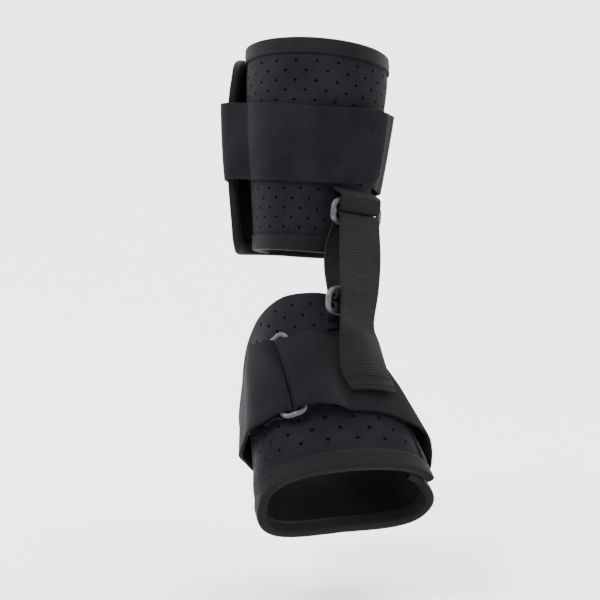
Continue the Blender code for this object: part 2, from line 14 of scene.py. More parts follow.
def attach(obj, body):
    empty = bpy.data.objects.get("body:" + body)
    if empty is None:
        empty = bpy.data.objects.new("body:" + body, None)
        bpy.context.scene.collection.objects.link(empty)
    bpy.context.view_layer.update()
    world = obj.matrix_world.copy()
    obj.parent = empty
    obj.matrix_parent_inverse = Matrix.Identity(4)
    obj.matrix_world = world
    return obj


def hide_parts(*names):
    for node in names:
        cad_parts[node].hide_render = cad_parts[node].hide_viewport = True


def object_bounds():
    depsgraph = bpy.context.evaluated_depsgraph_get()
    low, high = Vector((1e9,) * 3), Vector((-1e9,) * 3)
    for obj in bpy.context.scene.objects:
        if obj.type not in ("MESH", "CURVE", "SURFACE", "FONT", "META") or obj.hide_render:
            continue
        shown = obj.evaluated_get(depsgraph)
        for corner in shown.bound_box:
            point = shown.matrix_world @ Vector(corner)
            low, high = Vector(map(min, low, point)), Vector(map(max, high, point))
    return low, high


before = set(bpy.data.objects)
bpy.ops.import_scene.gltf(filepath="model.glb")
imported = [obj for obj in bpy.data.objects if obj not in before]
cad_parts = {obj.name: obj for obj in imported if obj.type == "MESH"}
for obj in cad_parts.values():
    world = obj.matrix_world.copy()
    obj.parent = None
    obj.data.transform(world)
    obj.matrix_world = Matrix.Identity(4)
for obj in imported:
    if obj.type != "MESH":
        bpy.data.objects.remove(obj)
CAD_BOX = [[float(c) for c in corner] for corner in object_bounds()]

# Cloths
WALL = 0.0034
GAP = 0.0003
BINDING = 0.0008
TAPE_ROOM = 0.0004
BINDING_WIDTH = 0.0096
WEBBING = 0.0016

# Cuff and its strap
CUFF_HEIGHT = 0.140
CUFF_WIDTH = 0.1005
CUFF_FLOOR = 0.0645
CUFF_INNER_END = -126.0
CUFF_FLAP_END = 272.0
FLAP_STAND = 0.0124
FLAP_CORNER = 0.016
CUFF_STRAP_WIDTH = 0.0525
CUFF_STRAP_THICK = 0.0019
CUFF_STRAP_FLOOR = 0.0467
CUFF_STRAP_START = 46.0
CUFF_STRAP_END = 417.0
STRAP_CORNER = 0.010

# Rings and webbing
WEBBING_WIDTH = 0.038
RING_BAR = 0.0043
RING_HEIGHT = 0.0200
RING_SQUARE = 4.0            # 2 is an oval; more is squarer
RING_ROOM = 0.0009
STRAP_TURN = 43.0
UPPER_RING_HEIGHT = 0.0915
UPPER_RING_REACH = 0.0498
LOWER_RING_HEIGHT = 0.0315
LOWER_RING_REACH = 0.0630
LOWER_RING_SIDE = -0.0134
LOWER_RING_TURN = 5.0
STRAP_DROP = 0.118

# Foot wrap and its strap
FOOT_LENGTH = 0.129
FOOT_RISE = 0.078
FOOT_WIDTH = 0.112
FOOT_CLOTH_WIDTH = 0.105     # as stated; the modelled wrap is 0.126 wide on average
FOOT_YAW = 20.0
FOOT_PITCH = 20.0
FOOT_ROLL = 5.0
FOOT_FLAP_END = 66.0
FOOT_OVERLAP = 26.0
FOOT_INNER_END = FOOT_FLAP_END - 360.0 - FOOT_OVERLAP
FOOT_STRAP_THICK = 0.0022
ELASTIC_THICK = 0.0017
FOOT_RING_LENGTH = 0.0500
FOOT_RING_WIDTH = 0.0185
FOOT_RING_BAR = 0.0036
FOOT_RING_AT = -41.0
FOOT_RING_SKEW = 11.0        # how far its front end lies further round
STRAP_MEET = 122.0
STRAP_FLAT_WIDTH = 0.040

# Fine detail
CELLS_ACROSS = 14            # of ribbed webbing and of the bands round the foot
HOLE_ALONG = 0.0034          # a cell of the cloth's grid, of which every eighth has a hole
HOLE_RISE = 0.00325
HOLE_RIM = 0.00075           # cloth left round a hole inside its cell
FOOT_HOLE_RIM = 0.00095
HOLE_DEPTH = 0.0016
HOLE_STEPS = ((0.00012, -0.35), (0.00006, -0.65))     # a hole's wall: inset, share of depth
CUFF_WAVES = ((0.030, 0.00045), (0.011, 0.00018))     # unevenness: size, height
FOOT_WAVES = ((0.026, 0.00045), (0.010, 0.00018))
CUFF_STRAP_WAVES = ((0.026, 0.00030), (0.009, 0.00008))
FOOT_STRAP_WAVES = ((0.020, 0.00025),)
TAPE_WAVES = ((0.009, 0.00016),)
RIB_WAVES = ((0.0075, 0.0009),)                       # how far ribs wander along webbing
SEAM_IN = 0.0035             # a strap's pressed line, in from its edge
SEAM_ROUND = 0.0011
RIB_STEP = 0.00040           # length of a cell along ribbed webbing
RIB_PITCH = 0.0020
RIB_HEIGHT = 0.00020
HEM_LENGTH = 0.0095
HEM_SEAMS = (0.0024, 0.0080)
HEM_THICK = 0.0007
HEM_CORNER = 0.0045
HEM_NARROW = 0.0022
TAPE_STITCHES = BINDING_WIDTH - 0.0017
STITCH_PITCH = 0.0034
STITCH_LENGTH = 0.0024
STITCH_THICK = 0.00042
CUFF_ROUND = CUFF_WIDTH * 0.47 * math.pi / 180.0
FOOT_ROUND = FOOT_WIDTH * 0.42 * math.pi / 180.0


def table(columns, *rows):
    """Rows of numbers with named columns."""
    kind = namedtuple("Row", columns)
    return [kind(*row) for row in rows]


CUFF_ROWS = table(
    "height half_width half_depth side",
    (0.00, 0.370, 0.394, 0.017),
    (0.17, 0.399, 0.425, 0.018),
    (0.53, 0.462, 0.485, 0.010),
    (0.77, 0.494, 0.510, 0.008),
    (0.89, 0.502, 0.520, 0.006),
    (1.00, 0.500, 0.522, -0.006),
)
CUFF_STRAP_ROWS = table(
    "angle low high",
    (0.0, -0.02, 0.94),
    (60.0, 0.00, 1.00),
    (90.0, -0.02, 1.03),
    (180.0, 0.02, 1.02),
    (270.0, 0.02, 1.04),
    (360.0, -0.03, 0.92),
    (418.0, 0.03, 1.00),
)
FOOT_ROWS = table(
    "forward top waist bottom lateral medial",
    (-0.08, 0.96, -0.15, -1.03, 0.325, 0.330),
    (0.12, 0.84, -0.20, -1.01, 0.335, 0.345),
    (0.28, 0.66, -0.26, -0.99, 0.360, 0.370),
    (0.47, 0.38, -0.36, -0.95, 0.408, 0.412),
    (0.66, 0.09, -0.49, -0.95, 0.472, 0.452),
    (0.83, -0.15, -0.59, -0.97, 0.518, 0.495),
    (1.00, -0.35, -0.65, -0.98, 0.530, 0.512),
    (1.10, -0.45, -0.68, -0.98, 0.533, 0.510),
)
EDGE_ROWS = table(
    "angle wrap_rear wrap_rim strap_rear strap_front",
    (-180.0, 0.14, 0.96, 0.20, 0.62),
    (-130.0, 0.05, 0.99, 0.07, 0.45),
    (-90.0, -0.03, 1.00, 0.115, 0.66),
    (-67.0, 0.05, 1.00, 0.26, 0.735),
    (-45.0, 0.155, 1.00, 0.375, 0.752),
    (-20.0, 0.245, 1.00, 0.445, 0.757),
    (0.0, 0.272, 1.00, 0.47, 0.768),
    (30.0, 0.26, 0.995, 0.48, 0.765),
    (60.0, 0.11, 0.99, 0.47, 0.775),
    (90.0, -0.02, 0.98, 0.40, 0.80),
    (130.0, 0.05, 0.97, 0.33, 0.76),
    (180.0, 0.14, 0.96, 0.20, 0.62),
)
HANG_COLUMNS = "drop reach side turn"
OUTER_ROWS = table(
    HANG_COLUMNS,
    (0.26, 1.255, -0.121, -1.0),
    (0.44, 1.385, -0.222, 4.0),
    (0.63, 1.405, -0.247, 9.0),
)
INNER_ROWS = table(
    HANG_COLUMNS,
    (0.08, 0.925, 0.00, 0.0),
    (0.20, 0.910, -0.08, 1.0),
    (0.33, 1.000, -0.17, 3.0),
)
LIE_ROWS = table(
    "left left_at right right_at left_lift right_lift",
    (4.0, 0.517, 46.0, 0.410, 0.0016, 0.0022),
    (2.0, 0.605, 41.0, 0.545, 0.0012, 0.0022),
    (5.0, 0.694, 38.0, 0.675, 0.0010, 0.0020),
)


def along(rows, column, x):
    """A column's value at x, on a smooth line through the rows."""
    xs = [row[0] for row in rows]
    x = min(max(x, xs[0]), xs[-1])
    last = len(xs) - 1
    k = 0
    while k < last - 1 and x > xs[k + 1]:
        k += 1
    at = rows[0]._fields.index(column)
    ys = [row[at] for row in rows]
    slopes = []
    for i in (k, k + 1):
        low = max(i - 1, 0)
        high = min(i + 1, last)
        slopes.append((ys[high] - ys[low]) / (xs[high] - xs[low]))
    span = xs[k + 1] - xs[k]
    t = (x - xs[k]) / span
    return (ys[k] * (2 * t**3 - 3 * t**2 + 1) + ys[k + 1] * (3 * t**2 - 2 * t**3)
            + span * slopes[0] * (t**3 - 2 * t**2 + t) + span * slopes[1] * (t**3 - t**2))


def ease(x, low, high):
    """0 below low, 1 above high, and smooth between them."""
    t = min(max((x - low) / (high - low), 0.0), 1.0)
    return t * t * (3 - 2 * t)


def groove(x, middle, wide):
    """1 in the middle of a groove, and falling off beside it."""
    return math.exp(-((x - middle) / wide) ** 2)


def corner_cut(left, corner, depth):
    """How far a rounded corner draws an edge in, at a length before its end."""
    share = 1 - min(max(left, 0.0), corner) / corner
    return depth * (1 - math.sqrt(1 - share * share))


def uneven(spot, waves):
    """Unevenness of cloth at a point, from waves of a size and a height each."""
    return sum(height * noise.noise(spot / size) for size, height in waves)


def cuff_point(angle, height, off):
    """A point off the cuff's outer face, at a height above its lower rim."""
    share = height / CUFF_HEIGHT
    half_width, half_depth, side = (along(CUFF_ROWS, column, share) * CUFF_WIDTH
                                    for column in ("half_width", "half_depth", "side"))
    turn = math.radians(angle)
    normal = Vector((math.sin(turn) / half_width, -math.cos(turn) / half_depth, 0)).normalized()
    base = Vector((side + half_width * math.sin(turn), -half_depth * math.cos(turn),
                   CUFF_FLOOR + height))
    return base + off * normal


def cuff_off(angle, height):
    """How far the cuff's outer layer stands off where it overlaps the inner one."""
    share = min(max(height / CUFF_HEIGHT, 0.0), 1.0)
    sag = 1.10 + 0.18 * math.sin(math.pi * share) - 0.50 * share * share
    return FLAP_STAND * sag * ease(angle, 140.0, CUFF_FLAP_END - 14.0)


def foot_axes():
    """Directions of the foot: forward, to the little toe's side, and off the sole."""
    yaw, pitch, roll = (math.radians(a) for a in (FOOT_YAW, FOOT_PITCH, FOOT_ROLL))
    forward = Vector((math.sin(yaw) * math.cos(pitch), -math.cos(yaw) * math.cos(pitch),
                      -math.sin(pitch)))
    level = Vector((math.cos(yaw), math.sin(yaw), 0))
    rise = forward.cross(level)
    side = level * math.cos(roll) + rise * math.sin(roll)
    return forward, side, rise * math.cos(roll) - level * math.sin(roll)


FORWARD, SIDE, RISE = foot_axes()


def foot_base(angle, share):
    """A point of the foot wrap's outer face, at a share of the foot's length."""
    turn = math.radians(angle)
    across = math.sin(turn)
    up = math.cos(turn)
    top, waist, bottom = (along(FOOT_ROWS, column, share) * FOOT_RISE
                          for column in ("top", "waist", "bottom"))
    width = along(FOOT_ROWS, "lateral" if across > 0 else "medial", share) * FOOT_WIDTH
    if up > 0:
        high = waist + (top - waist) * up
        across *= 1 + 0.20 * up * up * ease(share, 0.35, 0.85)
    else:
        high = waist + (waist - bottom) * up * (1.45 - 0.45 * up * up)
        across *= 1 - 0.12 * up
    return FORWARD * share * FOOT_LENGTH + SIDE * width * across + RISE * high


def foot_point(angle, share, off):
    """A point off the foot wrap's outer face."""
    step = 0.004
    base = foot_base(angle, share)
    along_foot = foot_base(angle, share + step) - foot_base(angle, share - step)
    round_foot = foot_base(angle + 60 * step, share) - foot_base(angle - 60 * step, share)
    return base + off * along_foot.cross(round_foot).normalized()


def foot_edge(column, angle):
    """Where an edge lies at an angle round the foot, as a share of its length."""
    return along(EDGE_ROWS, column, (angle + 180.0) % 360.0 - 180.0)


def foot_off(angle, _):
    """The wrap's outer face: under the outer end it dips by a wall and its tapes."""
    dip = WALL + 2 * BINDING + 2 * TAPE_ROOM + 2 * GAP
    return -dip * (1 - ease(angle, FOOT_FLAP_END - 357.0, FOOT_FLAP_END - 319.0))


# Meshes

def place_data(name, data):
    """An object of a mesh, a light or a camera, in the scene."""
    made = bpy.data.objects.new(name, data)
    bpy.context.scene.collection.objects.link(made)
    return made


def place_mesh(name, bm, mat):
    """A smooth object of one material, in the scene."""
    mesh = bpy.data.meshes.new(name)
    bm.to_mesh(mesh)
    bm.free()
    mesh.shade_smooth()
    mesh.materials.append(mat)
    return place_data(name, mesh)


def keep(name, bm, mat, node=None, sharp=50.0):
    """Makes a piece of a mesh that rides on the brace and stands for a node."""
    bmesh.ops.recalc_face_normals(bm, faces=bm.faces[:])
    if bm.calc_volume(signed=True) < 0:
        bmesh.ops.reverse_faces(bm, faces=bm.faces[:])
    made = place_mesh(name, bm, mat)
    made.data.set_sharp_from_angle(angle=math.radians(sharp))
    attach(made, "root")
    if node:
        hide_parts(node)
    return made


def soften(made):
    """Rounds a piece's faces when it is shown."""
    smooth = made.modifiers.new("rounding", "SUBSURF")
    smooth.levels = 1
    smooth.render_levels = 1


def unwrap(bm, flat, size=(1.0, 1.0)):
    """Writes a UV map: flat(vert) gives a place in shares of the size."""
    layer = bm.loops.layers.uv.new("UVMap")
    for face in bm.faces:
        for loop in face.loops:
            u, v = flat(loop.vert)
            loop[layer].uv = (u * size[0], v * size[1])


def slab(long_cells, wide_cells, place, size, edge=0.0005):
    """A closed sheet: place(u, v, face) gives its outer face for 0 and its inner one for 1."""
    bm = bmesh.new()
    bmesh.ops.create_grid(bm, x_segments=long_cells, y_segments=wide_cells, size=0.5)
    shares = {vert: (vert.co.x + 0.5, vert.co.y + 0.5) for vert in bm.verts}
    outer = bm.faces[:]
    made = bmesh.ops.extrude_face_region(bm, geom=outer, use_keep_orig=True)
    inner = [item for item in made["geom"] if isinstance(item, bmesh.types.BMVert)]
    for vert in inner:
        shares[vert] = (vert.co.x + 0.5, vert.co.y + 0.5)
    inner_faces = {item for item in made["geom"] if isinstance(item, bmesh.types.BMFace)}
    kept = set(outer) | inner_faces
    backs = set(inner)
    unwrap(bm, shares.get, size)
    for vert, (u, v) in shares.items():
        vert.co = place(u, v, 1 if vert in backs else 0)
    bmesh.ops.recalc_face_normals(bm, faces=bm.faces[:])
    bm.normal_update()
    if edge:
        rims = [e for e in bm.edges if sum(f in kept for f in e.link_faces) == 1]
        bmesh.ops.bevel(bm, geom=rims, offset=edge, segments=2, profile=0.5, affect="EDGES",
                        material=-1)
    return bm, outer


def tube(count, around, place, size):
    """A closed skin: place(u, v) goes along it by u and round it by v; open ends are filled."""
    bm = bmesh.new()
    bmesh.ops.create_grid(bm, x_segments=count, y_segments=around, size=0.5)
    unwrap(bm, lambda vert: (vert.co.x + 0.5, vert.co.y + 0.5), size)
    for vert in bm.verts:
        vert.co = place(vert.co.x + 0.5, vert.co.y + 0.5)
    bmesh.ops.remove_doubles(bm, verts=bm.verts[:], dist=1e-6)
    bmesh.ops.holes_fill(bm, edges=[e for e in bm.edges if e.is_boundary], sides=0)
    return bm


def between(items, at):
    """A point on a smooth line through the items, at a place counted in items."""
    last = len(items) - 1
    k = min(max(int(at), 0), last - 1)
    a, b, c, d = (items[min(max(k + j, 0), last)] for j in (-1, 0, 1, 2))
    t = at - k
    return 0.5 * (2 * b + (c - a) * t + (2 * a - 5 * b + 4 * c - d) * t**2
                  + (3 * b - 3 * c + d - a) * t**3)


def lengths_of(points):
    """Lengths from the first point to each."""
    total = [0.0]
    for a, b in zip(points, points[1:]):
        total.append(total[-1] + (b - a).length)
    return total


def places_at(total, step):
    """Places counted in points, at even steps of length."""
    count = max(round(total[-1] / step), 1)
    places = []
    k = 0
    for i in range(count + 1):
        s = total[-1] * i / count
        while k < len(total) - 2 and s > total[k + 1]:
            k += 1
        places.append(k + (s - total[k]) / max(total[k + 1] - total[k], 1e-9))
    return places


# Materials

def effect(name, inputs, outputs):
    """An empty node group with named inputs and outputs."""
    tree = bpy.data.node_groups.new(name, "ShaderNodeTree")
    for label, kind, value in inputs:
        socket = tree.interface.new_socket(label, in_out="INPUT", socket_type=kind)
        if value is not None:
            socket.default_value = value
    for label in outputs:
        tree.interface.new_socket(label, in_out="OUTPUT", socket_type="NodeSocketFloat")
    return tree, tree.nodes.new("NodeGroupInput").outputs, tree.nodes.new("NodeGroupOutput").inputs


def feed(tree, socket, value):
    """Links a socket to another one, or gives it a number or a colour."""
    if isinstance(value, bpy.types.NodeSocket):
        tree.links.new(value, socket)
    else:
        socket.default_value = (*value, 1.0) if isinstance(value, tuple) else value


def calc(tree, operation, one, two=0.0, three=0.0):
    """The result of a Math node on sockets or numbers."""
    node = tree.nodes.new("ShaderNodeMath")
    node.operation = operation
    for socket, value in zip(node.inputs, (one, two, three)):
        feed(tree, socket, value)
    return node.outputs[0]


def weigh(tree, one, two, share):
    """A share of one value and the rest of another."""
    return calc(tree, "ADD", calc(tree, "MULTIPLY", one, share),
                calc(tree, "MULTIPLY", two, 1 - share))


def noise_of(tree, vector, scale, detail):
    """A noise between 0 and 1, of a scale that is a socket or a number."""
    node = tree.nodes.new("ShaderNodeTexNoise")
    node.inputs["Detail"].default_value = detail
    tree.links.new(vector, node.inputs["Vector"])
    feed(tree, node.inputs["Scale"], scale)
    return node.outputs["Fac"]


def make_grain():
    """Fine unevenness of a cloth's face, and wide patches where it is lighter or darker."""
    tree, given, gives = effect("cloth grain", (
        ("Vector", "NodeSocketVector", None), ("Scale", "NodeSocketFloat", 900.0),
    ), ("Height", "Patches"))
    fine = noise_of(tree, given["Vector"], given["Scale"], 3.0)
    finer = noise_of(tree, given["Vector"], calc(tree, "MULTIPLY", given["Scale"], 2.7), 1.0)
    tree.links.new(weigh(tree, fine, finer, 0.7), gives["Height"])
    tree.links.new(noise_of(tree, given["Vector"], 38.0, 4.0), gives["Patches"])
    return tree


def make_weave():
    """Raised threads of a weave, on a UV map in metres."""
    tree, given, gives = effect("woven threads", (
        ("Vector", "NodeSocketVector", None), ("Along", "NodeSocketFloat", 0.0012),
        ("Across", "NodeSocketFloat", 0.0010),
    ), ("Height",))
    parts = tree.nodes.new("ShaderNodeSeparateXYZ")
    tree.links.new(given["Vector"], parts.inputs[0])
    waves = []
    for axis, pitch in (("X", "Along"), ("Y", "Across")):
        turns = calc(tree, "DIVIDE", parts.outputs[axis], given[pitch])
        waves.append(calc(tree, "SINE", calc(tree, "MULTIPLY", turns, 2 * math.pi)))
    crossed = calc(tree, "MULTIPLY", waves[0], waves[1])
    tree.links.new(calc(tree, "MULTIPLY_ADD", crossed, 0.5, 0.5), gives["Height"])
    return tree


def make_lint():
    """Small specks of dust caught in the pile."""
    tree, given, gives = effect("lint", (
        ("Vector", "NodeSocketVector", None), ("Amount", "NodeSocketFloat", 0.5),
    ), ("Mask",))
    specks = noise_of(tree, given["Vector"], 640.0, 2.0)
    drifts = noise_of(tree, given["Vector"], 55.0, 2.0)
    both = calc(tree, "MULTIPLY", ramp(tree, specks, 0.70, 0.78), ramp(tree, drifts, 0.42, 0.62))
    tree.links.new(calc(tree, "MULTIPLY", both, given["Amount"]), gives["Mask"])
    return tree


def ramp(tree, value, low, high):
    """0 below low, 1 above high, and smooth between them."""
    node = tree.nodes.new("ShaderNodeMapRange")
    node.interpolation_type = "SMOOTHSTEP"
    tree.links.new(value, node.inputs["Value"])
    node.inputs["From Min"].default_value = low
    node.inputs["From Max"].default_value = high
    return node.outputs["Result"]


GRAIN = make_grain()
WEAVE = make_weave()
LINT = make_lint()


def place_group(tree, group, vector, **values):
    """The outputs of a node group placed in a material."""
    node = tree.nodes.new("ShaderNodeGroup")
    node.node_tree = group
    tree.links.new(vector, node.inputs["Vector"])
    for label, value in values.items():
        node.inputs[label].default_value = value
    return node.outputs


def mix(tree, share, one, two):
    """A colour between two, which are sockets or colours."""
    node = tree.nodes.new("ShaderNodeMix")
    node.data_type = "RGBA"
    tree.links.new(share, node.inputs["Factor"])
    feed(tree, node.inputs[6], one)
    feed(tree, node.inputs[7], two)
    return node.outputs[2]


def new_material(name):
    """A new material with its node tree and its shader."""
    mat = bpy.data.materials.new(name)
    mat.use_nodes = True
    tree = mat.node_tree
    return mat, tree, tree.nodes["Principled BSDF"]


def relief(tree, shader, height, strength, depth):
    """Raises a material's face by a height."""
    bump = tree.nodes.new("ShaderNodeBump")
    bump.inputs["Strength"].default_value = strength
    bump.inputs["Distance"].default_value = depth
    tree.links.new(height, bump.inputs["Height"])
    tree.links.new(bump.outputs["Normal"], shader.inputs["Normal"])


def cloth(name, dark, light, rough, scale, depth, weave=None, lint=0.4, sheen=0.018, shine=0.07,
          holes=False):
    """A cloth: two tones in patches, grain or woven threads as relief with painted shade in the
    grooves between threads, specks of lint, and painted shade in its holes.
    """
    mat, tree, shader = new_material(name)
    spot = tree.nodes.new("ShaderNodeTexCoord").outputs["Object"]
    grain = place_group(tree, GRAIN, spot, Scale=scale)
    tone = weigh(tree, grain["Patches"], grain["Height"], 0.65)
    colour = mix(tree, ramp(tree, tone, 0.36, 0.64), dark, light)
    specks = place_group(tree, LINT, spot, Amount=lint)
    colour = mix(tree, specks["Mask"], colour, (0.06, 0.06, 0.066))
    height = grain["Height"]
    if weave:
        flat = tree.nodes.new("ShaderNodeUVMap")
        flat.uv_map = "UVMap"
        threads = place_group(tree, WEAVE, flat.outputs["UV"], Along=weave[0], Across=weave[1])
        height = weigh(tree, threads["Height"], grain["Height"], 0.65)
        # Painted shade: the weave's low grooves between threads are darkened towards 0.55 of the
        # dark tone, on top of their relief.
        shade = calc(tree, "SUBTRACT", 1.0, threads["Height"])
        colour = mix(tree, calc(tree, "MULTIPLY", shade, 0.45), colour,
                     tuple(0.55 * c for c in dark))
    if holes:
        # Painted shade in the holes: the pits' floors and walls are drawn near black, standing in
        # for shade inside them.
        hole_shade_input = tree.nodes.new("ShaderNodeAttribute")
        hole_shade_input.attribute_name = "hole_shade"
        colour = mix(tree, hole_shade_input.outputs["Fac"], colour, (0.0012, 0.0012, 0.0014))
    tree.links.new(colour, shader.inputs["Base Color"])
    tree.links.new(calc(tree, "MULTIPLY_ADD", grain["Patches"], 0.16, rough - 0.08),
                   shader.inputs["Roughness"])
    relief(tree, shader, height, 0.8, depth)
    for label, value in (("Sheen Weight", sheen), ("Sheen Roughness", 0.45),
                         ("Specular IOR Level", shine)):
        shader.inputs[label].default_value = value
    return mat


def plastic(name, dark, light, rough):
    """Moulded plastic: faint flow marks and handling wear."""
    mat, tree, shader = new_material(name)
    spot = tree.nodes.new("ShaderNodeTexCoord").outputs["Object"]
    grain = place_group(tree, GRAIN, spot, Scale=420.0)
    colour = mix(tree, ramp(tree, grain["Patches"], 0.35, 0.65), dark, light)
    tree.links.new(colour, shader.inputs["Base Color"])
    tree.links.new(calc(tree, "MULTIPLY_ADD", grain["Height"], 0.25, rough - 0.1),
                   shader.inputs["Roughness"])
    relief(tree, shader, grain["Height"], 0.35, 0.00008)
    return mat


# Cuff

def cuff_drop(angle):
    """How far both rims sink towards the cuff's outer end."""
    return 0.025 * CUFF_HEIGHT * ease(angle, 200.0, CUFF_FLAP_END)


def cuff_rims(angle):
    """Lower and upper rim at an angle, with the outer end's rounded corners."""
    cut = corner_cut((CUFF_FLAP_END - angle) * CUFF_ROUND, FLAP_CORNER, FLAP_CORNER)
    drop = cuff_drop(angle)
    return cut - drop, CUFF_HEIGHT - drop - cut


def seam_dip(distance):
    """The cloth pulled in beside a sewn tape."""
    return 0.0005 * groove(distance, BINDING_WIDTH + 0.0012, 0.0018)


def punch(bm, faces, size, counts, skip, rim):
    """Sinks the cloth's holes, in every fourth cell of every second row, in turn, and marks them
    for painted shade.
    """
    layer = bm.loops.layers.uv.active
    cells = {}
    for face in faces:
        middle = sum((loop[layer].uv for loop in face.loops), Vector((0, 0))) / len(face.loops)
        cells[tuple(int(middle[k] / size[k] * counts[k]) for k in (0, 1))] = face
    chosen = [face for (i, j), face in sorted(cells.items())
              if i % 4 == 2 * (j // 2 % 2) and j % 2 == 0 and not skip(i, j)]
    # The mask of painted shade in the holes: 1 on a hole's floor and 0.8 on the ring round it.
    depth = bm.verts.layers.float.new("hole_shade")
    for inset, sink in ((rim, 0.0), *HOLE_STEPS):
        bmesh.ops.inset_individual(bm, faces=chosen, thickness=inset, depth=sink * HOLE_DEPTH)
    for face in chosen:
        for vert in face.verts:
            vert[depth] = 1.0
            for edge in vert.link_edges:
                other = edge.other_vert(vert)
                other[depth] = max(other[depth], 0.8)


def cuff_wall(mat):
    """The cuff's foam cloth, its outer end lapping over the inner one, with its holes."""
    length = (CUFF_FLAP_END - CUFF_INNER_END) * CUFF_ROUND
    counts = (round(length / HOLE_ALONG), round(CUFF_HEIGHT / HOLE_RISE))

    def place(u, v, face):
        angle = CUFF_INNER_END + (CUFF_FLAP_END - CUFF_INNER_END) * u
        low, high = cuff_rims(angle)
        height = low + (high - low) * v
        off = cuff_off(angle, height)
        rim = min(height - low, high - height, (CUFF_FLAP_END - angle) * CUFF_ROUND)
        spot = cuff_point(angle, height, off)
        if face:
            return cuff_point(angle, height, off - WALL)
        lift = uneven(spot, CUFF_WAVES) * ease(rim, 0.0, BINDING_WIDTH)
        return cuff_point(angle, height, off + lift - seam_dip(rim))

    size = (length, CUFF_HEIGHT)
    bm, outer = slab(*counts, place, size, edge=0)
    corner = FLAP_CORNER / length * counts[0]

    def skip(i, j):
        return j < 4 or j > counts[1] - 5 or i > counts[0] - corner

    punch(bm, outer, size, counts, skip, HOLE_RIM)
    made = keep("cuff_wrap_cloth", bm, mat, "cuff_wrap")
    soften(made)


def tape(name, mat, node, stations, surface, wall_off, length):
    """A tape folded round a rim, through stations of edge and inward direction."""
    outer = TAPE_ROOM + BINDING
    half = 0.5 * WALL + outer
    under = -WALL - outer
    lip = BINDING_WIDTH - 0.0006
    section = [(BINDING_WIDTH, TAPE_ROOM + 0.4 * BINDING), (lip, outer),
               (0.72 * BINDING_WIDTH, outer - 0.0002), (0.40 * BINDING_WIDTH, outer + 0.0002),
               (0.12 * BINDING_WIDTH, outer)]
    for i in range(9):
        turn = math.pi * i / 8
        section.append((-outer * math.sin(turn), -0.5 * WALL + half * math.cos(turn)))
    section += [(0.12 * BINDING_WIDTH, under), (0.5 * BINDING_WIDTH, under), (lip, under),
                (BINDING_WIDTH, -WALL - TAPE_ROOM - 0.4 * BINDING), (lip, -WALL - TAPE_ROOM),
                (0.0, -WALL - TAPE_ROOM), (-TAPE_ROOM, -0.5 * WALL), (0.0, TAPE_ROOM),
                (lip, TAPE_ROOM)]
    around = len(section)
    count = len(stations) - 1

    def place(u, v):
        (x, y), inward = stations[round(u * count)]
        depth, off = section[round(v * around) % around]
        x += inward[0] * depth
        y += inward[1] * depth
        off += wall_off(x, y)
        spot = surface(x, y, off)
        return surface(x, y, off + uneven(spot, TAPE_WAVES))

    bm = tube(count, around, place, (length, 2 * BINDING_WIDTH + WALL))
    keep(name, bm, mat, node, sharp=70.0)


def stitches(name, mat, spots):
    """Short threads lying on a surface, through spots of middle, way and off directions."""
    bm = bmesh.new()
    for middle, way, off in spots:
        way = way.normalized()
        aside = off.cross(way).normalized()
        turn = Matrix((aside, way, aside.cross(way))).transposed()
        size = Matrix.Diagonal((0.5 * STITCH_THICK, 0.5 * STITCH_LENGTH, 0.5 * STITCH_THICK))
        bmesh.ops.create_uvsphere(bm, u_segments=6, v_segments=5, radius=1.0,
                                  matrix=Matrix.Translation(middle) @ (turn @ size).to_4x4())
    unwrap(bm, lambda vert: (vert.co.x, vert.co.z))
    keep(name, bm, mat, sharp=80.0)


def seam(stations, surface, wall_off):
    """Spots of stitches at even steps along a tape, near its inner edge."""
    line = []
    offs = []
    for (x, y), inward in stations:
        x += inward[0] * TAPE_STITCHES
        y += inward[1] * TAPE_STITCHES
        base = wall_off(x, y)
        spot = surface(x, y, base + TAPE_ROOM + BINDING)
        line.append(spot)
        offs.append(spot - surface(x, y, base))
    spots = []
    for at in places_at(lengths_of(line), STITCH_PITCH)[1:-1]:
        way = between(line, at + 0.05) - between(line, at - 0.05)
        spots.append((between(line, at), way, between(offs, at)))
    return spots


def cuff_stations():
    """Stations of the tape: the upper rim, round the outer end's corners, the lower rim."""
    last = CUFF_FLAP_END - FLAP_CORNER / CUFF_ROUND
    upper = []
    lower = []
    for i in range(151):
        angle = CUFF_INNER_END + (last - CUFF_INNER_END) * i / 150
        low, high = cuff_rims(angle)
        upper.append(((angle, high), (0.0, -1.0)))
        lower.append(((angle, low), (0.0, 1.0)))
    for i in range(1, 13):
        turn = 0.5 * math.pi * i / 12
        angle = last + FLAP_CORNER * math.sin(turn) / CUFF_ROUND
        cut = FLAP_CORNER * (1 - math.cos(turn))
        drop = cuff_drop(angle)
        aside = -math.sin(turn) / CUFF_ROUND
        upper.append(((angle, CUFF_HEIGHT - drop - cut), (aside, -math.cos(turn))))
        lower.append(((angle, cut - drop), (aside, math.cos(turn))))
    low, high = lower[-1][0][1], upper[-1][0][1]
    end = [((CUFF_FLAP_END, high + (low - high) * k / 36), (-1 / CUFF_ROUND, 0.0))
           for k in range(1, 36)]
    return upper + end + lower[::-1]


def cuff_strap_off(angle):
    """Inner face of the cuff's strap off the cuff: over the flap, the tab and itself."""
    clear = TAPE_ROOM + BINDING + GAP
    if angle < 300.0:
        flap = max(cuff_off(angle, share * CUFF_HEIGHT) for share in (0.3, 0.5, 0.75))
        stand = 0.0058 * ease(angle, 52.0, 84.0) * (1 - ease(angle, 110.0, 165.0))
        start = WEBBING + 2 * GAP + clear
        off = max(clear, flap + GAP + clear, start * (1 - ease(angle, 60.0, 76.0)) + stand)
        return off if angle < CUFF_FLAP_END - 6 else max(
            clear, off * (1 - ease(angle, CUFF_FLAP_END + 2, CUFF_FLAP_END + 28)))
    return (clear + (WEBBING + 2 * GAP) * ease(angle, 352.0, 374.0)
            + (CUFF_STRAP_THICK + 4 * GAP) * ease(angle, 384.0, 402.0)
            + 0.0030 * ease(angle, 400.0, 417.0))


